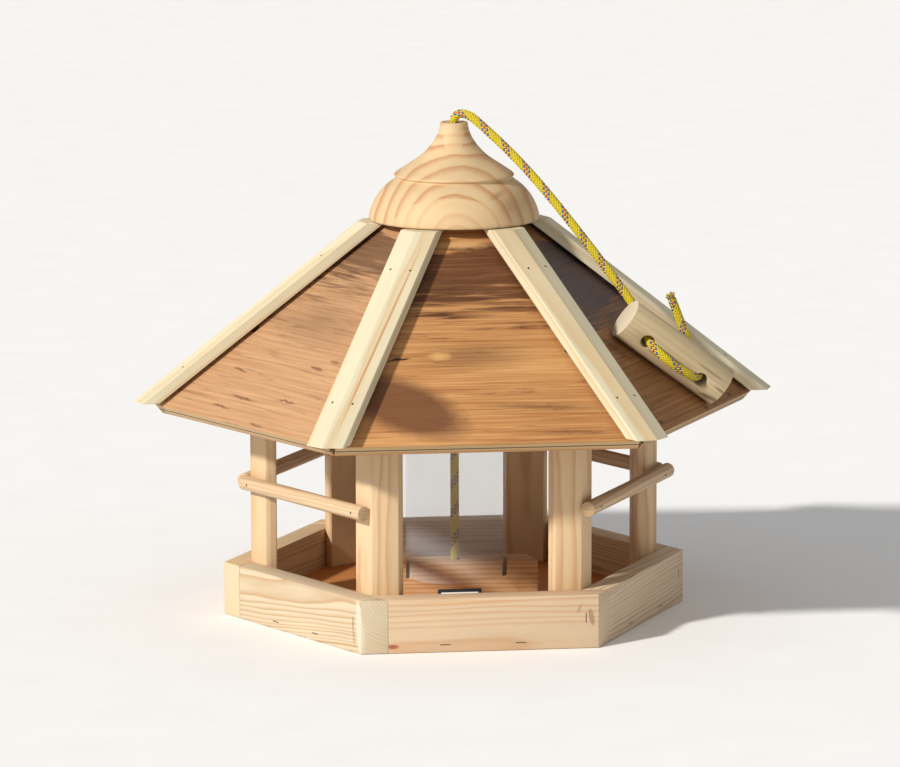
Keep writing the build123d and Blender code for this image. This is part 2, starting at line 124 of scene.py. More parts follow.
class Graph:
    """Node tree of one material, with the output socket each new node gives."""

    def __init__(self, name: str) -> None:
        """Start an empty material."""
        self.material = bpy.data.materials.new(name)
        self.material.use_nodes = True
        self.tree = self.material.node_tree
        self.tree.nodes.clear()

    def add(
        self, kind: str, inputs: dict | tuple = (), out: int | str = 0, stops: tuple = (), **settings: object
    ) -> Socket | None:
        """Add a node with its settings, input values, links and ramp stops.

        Args:
            kind: node type.
            inputs: values or sockets by input name or number, or in the order of the inputs.
            out: output to return.
            stops: places on a colour ramp with their hex colour or grey value.
            **settings: attributes of the node.

        Returns:
            The chosen output socket, or None where the node has none.
        """
        node = self.tree.nodes.new(kind)
        for key, value in settings.items():
            setattr(node, key, value)
        pairs = inputs.items() if isinstance(inputs, dict) else enumerate(inputs)
        for key, value in pairs:
            if isinstance(value, Socket):
                self.tree.links.new(value, node.inputs[key])
            else:
                node.inputs[key].default_value = value
        for index, (place, tone) in enumerate(stops):
            elements = node.color_ramp.elements
            element = elements[index] if index < 2 else elements.new(place)
            element.position = place
            element.color = linear(tone) if isinstance(tone, str) else (tone, tone, tone, 1.0)
        return node.outputs[out] if node.outputs else None

    def place(self, origin: Vector = ORIGIN, along: Vector = X_AXIS, side: Vector = Y_AXIS) -> Socket:
        """Position in millimetres in a piece's own frame.

        Args:
            origin: the frame's origin, in metres.
            along: direction of its X axis.
            side: direction near its Y axis.

        Returns:
            Vector socket.
        """
        x = along.normalized()
        z = x.cross(side).normalized()
        turn = Matrix((x, z.cross(x), z)).transposed().to_euler()
        spot = self.add(TEXCOORD, out="Object")
        values = {"Vector": spot, "Location": origin, "Rotation": turn, "Scale": (MM, MM, MM)}
        return self.add(MAPPING, values, vector_type="TEXTURE")

    def close(
        self, colour: Socket, rough: float | Socket, height: Socket, depth_mm: float, **shader: float
    ) -> Material:
        """Finish the material with a bump and a principled shader.

        Args:
            colour: base colour.
            rough: roughness, a value or a socket.
            height: height of the bump.
            depth_mm: depth of the bump in millimetres.
            **shader: further shader inputs, with underscores for spaces.

        Returns:
            The finished material.
        """
        normal = self.add(BUMP, {"Height": height, "Strength": 0.7, "Distance": depth_mm * MM})
        inputs = {"Base Color": colour, "Roughness": rough, "Normal": normal}
        inputs.update({key.replace("_", " "): value for key, value in shader.items()})
        self.add(OUTPUT, {"Surface": self.add(PRINCIPLED, inputs)})
        return self.material


@dataclass(frozen=True)
class Spot:
    """Soft-edged stain, knot, scorch or tear on a face, in millimetres of the face's frame."""

    x: float
    y: float
    half_x: float
    half_y: float
    tone: str
    strength: float = 0.8
    turn: float = 0.0
    edge: float = 0.4

    def paint(self, graph: Graph, place: Socket, colour: Socket) -> Socket:
        """Lay the spot over a colour.

        Args:
            graph: material's nodes.
            place: position in the face's frame.
            colour: colour under the spot.

        Returns:
            Colour with the spot.
        """
        values = {
            "Vector": place,
            "Location": (self.x, self.y, 0.0),
            "Rotation": (0.0, 0.0, math.radians(self.turn)),
            "Scale": (self.half_x, self.half_y, 1000.0),
        }
        mapped = graph.add(MAPPING, values, vector_type="TEXTURE")
        ball = graph.add(GRADIENT, (mapped,), out=1, gradient_type="SPHERICAL")
        rise = graph.add(MATH, (ball, self.strength / self.edge), operation="MULTIPLY")
        amount = graph.add(MATH, (rise, self.strength), operation="MINIMUM")
        return graph.add(MIX, {0: amount, 6: colour, 7: linear(self.tone)}, out=2, data_type="RGBA")


@dataclass(frozen=True)
class Face:
    """Frame of a visible face, in which its spots are given."""

    origin: Vector
    along: Vector
    side: Vector


@dataclass(frozen=True)
class PlanedSoftwood:
    """Planed spruce or pine: pale spring wood between darker summer-wood lines, dull with fine fibres."""

    spring: str = "#D9C3A0"
    summer: str = "#BE915F"
    ring_mm: float = 2.3
    wobble: float = 1.6
    fibre: float = 0.09
    end_tone: str = "#D2C3A4"
    rough: float = 0.55
    shift: float = 0.0
    contrast: float = 1.0
    spots: tuple[Spot, ...] = ()

    def make(
        self, name: str, pith: Vector, grain: Vector, side: Vector, face: Face | None = None
    ) -> Material:
        """Build the wood of one piece.

        Args:
            name: material name.
            pith: point on the log's middle, in metres.
            grain: direction of the fibres.
            side: direction across them.
            face: frame of the spots.

        Returns:
            The material.
        """
        g = Graph(name)
        place = g.place(pith, grain, side)
        # a slow drift of the rings along the log bends them into long waves and arches
        slow = g.add(VECTOR, (place, (0.009, 0.05, 0.05)), operation="MULTIPLY")
        drift = g.add(NOISE, {"Vector": slow, "Scale": 1.0, "Detail": 2.0})
        across = g.add(VECTOR, (place, (0.0, 1.0, 1.0)), operation="MULTIPLY")
        radius = g.add(VECTOR, (across,), out="Value", operation="LENGTH")
        bend = g.add(MATH, (drift, self.wobble, self.shift), operation="MULTIPLY_ADD")
        turns = g.add(MATH, (radius, 1 / self.ring_mm, bend), operation="MULTIPLY_ADD")
        pace = g.add(MATH, (turns, 0.31), operation="MULTIPLY")
        uneven = g.add(NOISE, {"W": pace, "Scale": 1.0, "Detail": 1.0}, noise_dimensions="1D")
        turns = g.add(MATH, (uneven, 1.6, turns), operation="MULTIPLY_ADD")
        ring = g.add(MATH, (turns,), operation="FRACT")
        # tone climbs slowly to the summer wood and drops at once where the next spring starts
        rise = ((0.0, 0.3), (1.0, 0.3), (0.12, 0.0), (0.5, 0.1), (0.8, 0.7), (0.93, 1.0))
        late = g.add(RAMP, (ring,), stops=rise)
        year = g.add(MATH, (turns,), operation="FLOOR")
        year = g.add(MATH, (year, 0.73), operation="MULTIPLY")
        depth = g.add(NOISE, {"W": year, "Detail": 0.0}, noise_dimensions="1D")
        weight = g.add(MATH, (depth, 1.3 * self.contrast, 0.1 * self.contrast), operation="MULTIPLY_ADD")
        late = g.add(MATH, (late, weight), operation="MULTIPLY", use_clamp=True)
        wood = g.add(MIX, {0: late, 6: linear(self.spring), 7: linear(self.summer)}, out=2, data_type="RGBA")
        # fibres are drawn about 0.7 mm wide, coarser than real ones, so that they show
        thin = g.add(VECTOR, (place, (0.035, 1.4, 1.4)), operation="MULTIPLY")
        fibre = g.add(NOISE, {"Vector": thin, "Scale": 1.0, "Detail": 4.0, "Roughness": 0.65})
        wide = g.add(VECTOR, (place, (0.015, 0.07, 0.07)), operation="MULTIPLY")
        blotch = g.add(NOISE, {"Vector": wide, "Scale": 1.0, "Detail": 2.0})
        shade = g.add(MATH, (fibre, 2 * self.fibre, 1 - self.fibre), operation="MULTIPLY_ADD")
        patch = g.add(MATH, (blotch, 0.2, 0.9), operation="MULTIPLY_ADD")
        shade = g.add(MATH, (shade, patch), operation="MULTIPLY")
        wood = g.add(VECTOR, (wood, shade), operation="MULTIPLY")
        normal = g.add(TEXCOORD, out="Normal")
        facing = g.add(VECTOR, (normal, grain.normalized()), out="Value", operation="DOT_PRODUCT")
        facing = g.add(MATH, (facing,), operation="ABSOLUTE")
        cut = g.add(MATH, (facing, 0.7), operation="GREATER_THAN")
        cut = g.add(MATH, (cut, 0.6), operation="MULTIPLY")
        wood = g.add(MIX, {0: cut, 6: wood, 7: linear(self.end_tone)}, out=2, data_type="RGBA")
        if face is not None and self.spots:
            spotted = g.place(face.origin, face.along, face.side)
            for spot in self.spots:
                wood = spot.paint(g, spotted, wood)
        rough = g.add(MATH, (fibre, 0.16, self.rough), operation="MULTIPLY_ADD")
        height = g.add(MATH, (late, 0.3, fibre), operation="MULTIPLY_ADD")
        return g.close(wood, rough, height, 0.12, Specular_IOR_Level=0.3)


@dataclass(frozen=True)
class ScorchedPly:
    """Rotary-cut plywood, burnt near the top: long tan grain, brown-black smoke, three veneers."""

    burn_from: float
    dark_to: float
    streaks_to: float
    pale: str = "#C2925F"
    deep: str = "#A06D41"
    burnt: str = "#7E5334"
    charred: str = "#4A2B1C"
    sparse: float = 0.72
    spots: tuple[Spot, ...] = ()
    seed: float = 0.0
    fall: float = 250.0
    thickness: float = 9.0

    def make(self, name: str, apex: Vector, right: Vector, down: Vector) -> Material:
        """Build the plywood of one panel.

        Args:
            name: material name.
            apex: the panel's peak point, in metres.
            right: direction along the eave, which is the face grain's.
            down: direction down the slope.

        Returns:
            The material.
        """
        g = Graph(name)
        # x along the eave, y down the slope, z into the panel
        place = g.place(apex, right, down)
        moved = g.add(VECTOR, (place, (0.0, 500.0 * self.seed, 0.0)), operation="ADD")
        long_grain = g.add(VECTOR, (moved, (0.012, 0.5, 0.5)), operation="MULTIPLY")
        veins = {"Vector": long_grain, "Scale": 1.0, "Detail": 5.0, "Roughness": 0.6, "Distortion": 0.3}
        grain = g.add(NOISE, veins)
        fine = g.add(VECTOR, (moved, (0.04, 2.2, 2.2)), operation="MULTIPLY")
        fibre = g.add(NOISE, {"Vector": fine, "Scale": 1.0, "Detail": 3.0, "Roughness": 0.7})
        grain = g.add(RAMP, (grain,), stops=((0.32, 0.0), (0.68, 1.0)))
        wood = g.add(MIX, {0: grain, 6: linear(self.pale), 7: linear(self.deep)}, out=2, data_type="RGBA")
        shade = g.add(MATH, (fibre, 0.36, 0.82), operation="MULTIPLY_ADD")
        wood = g.add(VECTOR, (wood, shade), operation="MULTIPLY")
        # how easily the wood burns falls down the slope; the smoke follows the grain in streaks
        drift = g.add(VECTOR, (moved, (0.016, 0.035, 0.1)), operation="MULTIPLY")
        sway = g.add(NOISE, {"Vector": drift, "Scale": 1.0, "Detail": 2.0})
        slope = g.add(SPLIT, (place,), out=1)
        sway = g.add(MATH, (sway, 30.0, -15.0), operation="MULTIPLY_ADD")
        slope = g.add(MATH, (sway, slope), operation="ADD")
        reach = g.add(MATH, (slope, 1 / self.fall), operation="MULTIPLY")
        stops = (
            (0.0, 1.0),
            (0.98, self.sparse),
            ((self.burn_from - 2) / self.fall, 1.0),
            ((self.burn_from + 3) / self.fall, 0.1),
            ((self.dark_to - 16) / self.fall, 0.2),
            ((self.dark_to + 8) / self.fall, 0.5),
            (self.streaks_to / self.fall, 0.62),
        )
        limit = g.add(RAMP, (reach,), stops=stops)
        streak = g.add(VECTOR, (moved, (0.02, 0.28, 0.2)), operation="MULTIPLY")
        puffs = {"Vector": streak, "Scale": 1.0, "Detail": 4.0, "Roughness": 0.62, "Distortion": 0.5}
        smoke = g.add(NOISE, puffs)
        over = g.add(MATH, (smoke, limit), operation="SUBTRACT")
        burn = g.add(MATH, (over, 4.5, 0.3), operation="MULTIPLY_ADD", use_clamp=True)
        # inside the burn the tone still follows the grain, from char to toasted brown
        bands = g.add(VECTOR, (moved, (0.03, 0.9, 0.5)), operation="MULTIPLY")
        band = g.add(NOISE, {"Vector": bands, "Scale": 1.0, "Detail": 4.0, "Roughness": 0.65})
        toast = g.add(RAMP, (band,), stops=((0.34, self.charred), (0.66, self.burnt)))
        char = g.add(MIX, {0: 0.35, 6: toast, 7: linear(self.charred)}, out=2, data_type="RGBA")
        patchy = g.add(MATH, (smoke, 0.5, 0.62), operation="MULTIPLY_ADD")
        amount = g.add(MATH, (burn, patchy), operation="MULTIPLY", use_clamp=True)
        wood = g.add(MIX, {0: amount, 6: wood, 7: char}, out=2, data_type="RGBA")
        # spots get ragged edges from a small random shift
        jitter = g.add(NOISE, {"Vector": moved, "Scale": 0.22, "Detail": 3.0}, out=1)
        jitter = g.add(VECTOR, (jitter, (0.5, 0.5, 0.5)), operation="SUBTRACT")
        jitter = g.add(VECTOR, (jitter, (7.0, 3.0, 0.0)), operation="MULTIPLY")
        rough_place = g.add(VECTOR, (place, jitter), operation="ADD")
        for spot in self.spots:
            wood = spot.paint(g, rough_place, wood)
        # a cut edge shows pale outer veneers and a thin dark one in the middle
        depth = g.add(SPLIT, (place,), out=2)
        depth = g.add(MATH, (depth, 1 / self.thickness), operation="MULTIPLY")
        shown = (
            (0.0, 0.0),
            (1.0, 0.2),
            (0.06, 0.0),
            (0.1, 0.7),
            (0.32, 0.7),
            (0.36, 1.0),
            (0.62, 1.0),
            (0.66, 0.35),
        )
        ply = g.add(RAMP, (depth,), stops=shown)
        veneers = (
            (0.0, "#C4AC80"),
            (1.0, "#C2A87C"),
            (0.4, "#C4AC80"),
            (0.44, "#6B4A30"),
            (0.54, "#7A5638"),
            (0.58, "#C9B48A"),
        )
        layer = g.add(RAMP, (depth,), stops=veneers)
        wood = g.add(MIX, {0: ply, 6: wood, 7: layer}, out=2, data_type="RGBA")
        height = g.add(MATH, (burn, -0.2, fibre), operation="MULTIPLY_ADD")
        rough = g.add(MATH, (fibre, 0.2, 0.5), operation="MULTIPLY_ADD")
        return g.close(wood, rough, height, 0.12, Specular_IOR_Level=0.3)


@dataclass(frozen=True)
class BraidedPolypropylene:
    """Melt-spun polypropylene yarn: saturated, slightly glossy fibres with soft dark gaps."""

    tone: str

    def make(self, name: str) -> Material:
        """Build the yarn.

        Args:
            name: material name.

        Returns:
            The material.
        """
        g = Graph(name)
        place = g.place()
        # filaments are drawn 0.25 mm wide, coarser than real ones, so that they show
        hair = g.add(NOISE, {"Vector": place, "Scale": 4.0, "Detail": 2.0, "Roughness": 0.6})
        worn = g.add(NOISE, {"Vector": place, "Scale": 0.25, "Detail": 2.0})
        shade = g.add(MATH, (hair, 0.5, 0.7), operation="MULTIPLY_ADD")
        worn = g.add(MATH, (worn, 0.3, 0.85), operation="MULTIPLY_ADD")
        shade = g.add(MATH, (shade, worn), operation="MULTIPLY")
        colour = g.add(VECTOR, (linear(self.tone)[:3], shade), operation="MULTIPLY")
        return g.close(colour, 0.42, hair, 0.12, Specular_IOR_Level=0.5)


@dataclass(frozen=True)
class ClearPolystyrene:
    """Extruded clear tube: glassy, faintly milky, with fine draw lines along it."""

    tint: str = "#F2F7FA"

    def make(self, name: str) -> Material:
        """Build the plastic.

        Args:
            name: material name.

        Returns:
            The material.
        """
        g = Graph(name)
        place = g.place()
        drawn = g.add(VECTOR, (place, (0.5, 0.5, 0.006)), operation="MULTIPLY")
        lines = g.add(NOISE, {"Vector": drawn, "Scale": 1.0, "Detail": 2.0})
        tone = g.add(RAMP, (lines,), stops=((0.3, self.tint), (0.7, "#DDE8F0")))
        rough = g.add(MATH, (lines, 0.1, 0.04), operation="MULTIPLY_ADD")
        normal = g.add(BUMP, {"Height": lines, "Strength": 0.4, "Distance": 0.3 * MM})
        glass = {"Base Color": tone, "Roughness": rough, "Normal": normal, "IOR": 1.5, "Alpha": 0.12}
        shell = g.add(PRINCIPLED, glass)
        g.add(OUTPUT, {"Surface": shell})
        return g.material


@dataclass(frozen=True)
class GalvanisedSteel:
    """Drawn wire and screws with a dull zinc skin: grey, softly mottled metal."""

    tone: str = "#8A7A68"
    rough: float = 0.42

    def make(self, name: str) -> Material:
        """Build the metal.

        Args:
            name: material name.

        Returns:
            The material.
        """
        g = Graph(name)
        place = g.place()
        mottle = g.add(NOISE, {"Vector": place, "Scale": 1.6, "Detail": 3.0})
        tone = g.add(RAMP, (mottle,), stops=((0.3, "#564A3E"), (0.7, self.tone)))
        rough = g.add(MATH, (mottle, 0.25, self.rough - 0.1), operation="MULTIPLY_ADD")
        return g.close(tone, rough, mottle, 0.05, Metallic=0.9)


@dataclass(frozen=True)
class PrintedCard:
    """Blank white card with a black printed edge, matt with a faint fibre."""

    half_width: float
    half_height: float
    border: float = 2.2

    def make(self, name: str, face: Face) -> Material:
        """Build the card.

        Args:
            name: material name.
            face: frame at the card's middle.

        Returns:
            The material.
        """
        g = Graph(name)
        place = g.place(face.origin, face.along, face.side)
        apart = g.add(VECTOR, (place,), operation="ABSOLUTE")
        wide = g.add(SPLIT, (apart,), out=0)
        wide = g.add(MATH, (wide, self.half_width - self.border), operation="GREATER_THAN")
        tall = g.add(SPLIT, (apart,), out=1)
        tall = g.add(MATH, (tall, self.half_height - self.border), operation="GREATER_THAN")
        ink = g.add(MATH, (wide, tall), operation="MAXIMUM")
        pulp = g.add(NOISE, {"Vector": place, "Scale": 1.2, "Detail": 4.0})
        paper = g.add(RAMP, (pulp,), stops=((0.3, "#E9E8E4"), (0.7, "#F8F8F6")))
        tone = g.add(MIX, {0: ink, 6: paper, 7: linear("#151515")}, out=2, data_type="RGBA")
        return g.close(tone, 0.7, pulp, 0.04)


def cad_copy(node: str, round_mm: float = 0.5) -> bmesh.types.BMesh:
    """Copy a CAD part's shape, merged, with its sharp edges eased.

    Args:
        node: name of the CAD part.
        round_mm: width of the eased edges in millimetres, or 0.

    Returns:
        The shape.
    """
    bm = bmesh.new()
    bm.from_mesh(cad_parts[node].data)
    bmesh.ops.remove_doubles(bm, verts=bm.verts, dist=2e-6)
    bmesh.ops.dissolve_limit(bm, angle_limit=math.radians(0.5), verts=bm.verts, edges=bm.edges)
    if round_mm:
        sharp = [e for e in bm.edges if len(e.link_faces) == 2 and e.calc_face_angle(0.0) > math.radians(30)]
        ease(bm, sharp, round_mm * MM)
    return bm


def ease(bm: bmesh.types.BMesh, edges: list[bmesh.types.BMEdge], width: float) -> None:
    """Round some edges of a shape.

    Args:
        bm: shape.
        edges: edges to round.
        width: width of the rounding in metres.
    """
    bmesh.ops.bevel(
        bm, geom=edges, offset=width, segments=2, profile=0.5, affect="EDGES", material=-1, clamp_overlap=True
    )


def turned(profile: list[tuple[float, float]], steps: int) -> bmesh.types.BMesh:
    """Turn a closed profile round the upright axis.

    Args:
        profile: radius and height of each corner, in metres.
        steps: number of facets round it.

    Returns:
        The closed shape.
    """
    bm = bmesh.new()
    verts = [bm.verts.new((radius, 0.0, height)) for radius, height in profile]
    edges = [bm.edges.new(pair) for pair in zip(verts, verts[1:] + verts[:1])]
    bmesh.ops.spin(
        bm, geom=verts + edges, cent=ORIGIN, axis=UP, angle=math.tau, steps=steps, use_merge=True, dvec=ORIGIN
    )
    bmesh.ops.remove_doubles(bm, verts=bm.verts, dist=1e-6)
    bmesh.ops.recalc_face_normals(bm, faces=bm.faces)
    return bm


def mesh_of(curve: bpy.types.Curve) -> bpy.types.Mesh:
    """Mesh of a curve.

    Args:
        curve: curve with its splines, bevelled or plain.

    Returns:
        Its mesh.
    """
    holder = bpy.data.objects.new(curve.name, curve)
    bpy.context.scene.collection.objects.link(holder)
    mesh = bpy.data.meshes.new_from_object(holder.evaluated_get(bpy.context.evaluated_depsgraph_get()))
    bpy.data.objects.remove(holder)
    return mesh


def make_piece(
    bm: bmesh.types.BMesh,
    name: str,
    body: Body,
    nodes: tuple[str, ...],
    slot: str,
    *materials: Material,
    smooth: float = 30.0,
) -> Piece:
    """Turn a shape into a piece that rides on a body.

    Args:
        bm: shape, freed here.
        name: piece name.
        body: body that it rides on.
        nodes: CAD parts that it stands for.
        slot: name of a material slot; not used.
        *materials: its materials.
        smooth: angle in degrees below which edges are shaded smooth.

    Returns:
        The piece.
    """
    mesh = bpy.data.meshes.new(name)
    bm.to_mesh(mesh)
    bm.free()
    for material in materials:
        mesh.materials.append(material)
    mesh.polygons.foreach_set("use_smooth", [True] * len(mesh.polygons))
    mesh.set_sharp_from_angle(angle=math.radians(smooth))
    piece = bpy.data.objects.new(name, mesh)
    bpy.context.scene.collection.objects.link(piece)
    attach(piece, body.value)
    if nodes:
        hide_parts(*nodes)
    LOG.info("%s: %d faces on %s", name, len(mesh.polygons), body.value)
    return piece


@dataclass
class Studio:
    """Pale floor, white surround, low soft sun from the left and a long lens."""

    eye: Vector = field(default_factory=lambda: Vector((-0.41991, -3.42303, 0.75629)))
    right: Vector = field(default_factory=lambda: Vector((0.992623, -0.121227, -0.001936)))
    up: Vector = field(default_factory=lambda: Vector((0.022709, 0.170210, 0.985146)))
    lens: float = 206.27
    sun_azimuth: float = 213.0
    sun_height: float = 31.0
    sun_power: float = 3.6
    sky_power: float = 0.41
    floor_size: float = 12.0

    def build(self) -> None:
        """Set up the camera, floor, sky and sun."""
        scene = bpy.context.scene
        scene.view_settings.view_transform = "Standard"
        lens = bpy.data.cameras.new("camera")
        lens.lens = self.lens
        lens.sensor_width = 36.0
        lens.clip_end = 100.0
        camera = bpy.data.objects.new("camera", lens)
        back = self.right.cross(self.up)
        turn = Matrix((self.right, self.up, back)).transposed().to_4x4()
        camera.matrix_world = Matrix.Translation(self.eye) @ turn
        scene.collection.objects.link(camera)
        scene.camera = camera
        bm = bmesh.new()
        bmesh.ops.create_grid(bm, x_segments=4, y_segments=4, size=self.floor_size / 2)
        bmesh.ops.translate(bm, verts=bm.verts, vec=(0.0, 0.0, -0.0002))
        mesh = bpy.data.meshes.new("floor")
        bm.to_mesh(mesh)
        bm.free()
        g = Graph("painted_floor")
        place = g.place()
        grit = g.add(NOISE, {"Vector": place, "Scale": 0.02, "Detail": 3.0})
        tone = g.add(RAMP, (grit,), stops=((0.3, "#F8F8F8"), (0.7, "#FBFBFB")))
        mesh.materials.append(g.close(tone, 0.9, grit, 0.001))
        floor = bpy.data.objects.new("floor", mesh)
        scene.collection.objects.link(floor)
        world = bpy.data.worlds.new("surround")
        world.use_nodes = True
        sky = world.node_tree.nodes["Background"]
        sky.inputs["Color"].default_value = linear("#FFFFFF")
        sky.inputs["Strength"].default_value = self.sky_power
        scene.world = world
        light = bpy.data.lights.new("sun", "SUN")
        light.energy = self.sun_power
        light.angle = math.radians(4.5)
        light.color = linear("#FFFBF5")[:3]
        sun = bpy.data.objects.new("sun", light)
        flat = direction(self.sun_azimuth) * math.cos(math.radians(self.sun_height))
        towards = flat + UP * math.sin(math.radians(self.sun_height))
        sun.rotation_euler = towards.to_track_quat("Z", "Y").to_euler()
        scene.collection.objects.link(sun)
        LOG.info("studio ready")


@dataclass
class Braid:
    """Sixteen-yarn tubular braid: eight yarns each way, three of them tracers in other colours."""

    diameter: float = 6.0 * MM
    yarns: int = 8
    yarn_radius: float = 0.74 * MM
    lap: float = 0.28 * MM
    turn_length: float = 20.0 * MM
    core_radius: float = 2.15 * MM
    step: float = 0.6 * MM
    tracers: tuple[int, ...] = (1, 2, 1)
    loose_filaments: int = 70
    filament_radius: float = 0.2 * MM

    def frames(self, path: list[Vector]) -> list[tuple[Vector, Vector, Vector, float]]:
        """Even steps along a line, each with two directions square to it that don't twist.

        Args:
            path: points of the line.

        Returns:
            Point, first and second direction, and distance from the start.
        """
        total = sum((b - a).length for a, b in zip(path, path[1:]))
        count = max(2, round(total / self.step))
        spots, index, walked = [], 0, 0.0
        for number in range(count + 1):
            goal = total * number / count
            while index < len(path) - 2 and walked + (path[index + 1] - path[index]).length < goal:
                walked += (path[index + 1] - path[index]).length
                index += 1
            span = path[index + 1] - path[index]
            spots.append(path[index] + span * min(1.0, (goal - walked) / span.length))
        result = []
        tangent = (spots[1] - spots[0]).normalized()
        first = tangent.orthogonal().normalized()
        for number, spot in enumerate(spots):
            ahead = spots[min(number + 1, count)] - spots[max(number - 1, 0)]
            ahead.normalize()
            first = tangent.rotation_difference(ahead) @ first
            tangent = ahead
            result.append((spot, first.copy(), tangent.cross(first), total * number / count))
        return result

    def tube(self, lines: list[tuple[list[Vector], int]], radius: float, sides: int) -> bpy.types.Mesh:
        """Round yarns along lines.

        Args:
            lines: points of each yarn with its material number.
            radius: radius of the yarns.
            sides: bevel resolution.

        Returns:
            Their mesh.
        """
        curve = bpy.data.curves.new("yarn", "CURVE")
        curve.dimensions = "3D"
        curve.bevel_depth = radius
        curve.bevel_resolution = sides
        curve.use_fill_caps = True
        for _ in range(3):
            curve.materials.append(None)
        for points, number in lines:
            spline = curve.splines.new("POLY")
            spline.points.add(len(points) - 1)
            spline.points.foreach_set("co", [value for p in points for value in (*p, 1.0)])
            spline.material_index = number
        return mesh_of(curve)

    def lay(self, path: list[Vector], frayed: bool) -> bmesh.types.BMesh:
        """Braid the yarns round a line.

        Args:
            path: points of the centreline.
            frayed: whether the last end is open into loose filaments.

        Returns:
            The braid's shape, with material numbers 0 yellow, 1 blue and 2 red.
        """
        frames = self.frames(path)
        middle = self.diameter / 2 - self.yarn_radius - self.lap / 2
        lines = []
        for way in (1, -1):
            for yarn in range(self.yarns):
                points = []
                for spot, first, second, along in frames:
                    angle = way * math.tau * along / self.turn_length + math.tau * yarn / self.yarns
                    over = way * self.lap * math.cos(2 * self.yarns * math.tau * along / 2 / self.turn_length)
                    radius = middle + over
                    points.append(spot + (first * math.cos(angle) + second * math.sin(angle)) * radius)
                tracer = self.tracers[yarn] if way == 1 and yarn < len(self.tracers) else 0
                lines.append((points, tracer))
        core = [frame_spot[0] for frame_spot in frames[::4]] + [frames[-1][0]]
        meshes = [self.tube(lines, self.yarn_radius, 1), self.tube([(core, 0)], self.core_radius, 2)]
        if frayed:
            meshes.append(self.tube(self.fray(*frames[-1][:3]), self.filament_radius, 0))
        bm = bmesh.new()
        for mesh in meshes:
            bm.from_mesh(mesh)
            bpy.data.meshes.remove(mesh)
        return bm

    def fray(self, spot: Vector, first: Vector, second: Vector) -> list[tuple[list[Vector], int]]:
        """Loose filaments at a cut end.

        Args:
            spot: middle of the end.
            first: direction square to the line.
            second: direction square to the line and to the first.

        Returns:
            Points of each filament with its material number.
        """
        ahead = second.cross(first) * -1
        chance = random.Random(5)
        loose = []
        for number in range(self.loose_filaments):
            angle = chance.uniform(0, math.tau)
            out = first * math.cos(angle) + second * math.sin(angle)
            start = chance.uniform(0.2, 2.4) * MM
            flare = chance.uniform(0.3, 1.9) * MM
            length = chance.uniform(2.0, 4.5) * MM
            points = [
                spot + out * start - ahead * MM,
                spot + out * (start + 0.35 * flare) + ahead * length * 0.5,
                spot + out * (start + flare) + ahead * length,
            ]
            colour = 1 if number % 6 == 0 else 2 if number % 11 == 0 else 0
            loose.append((points, colour))
        return loose


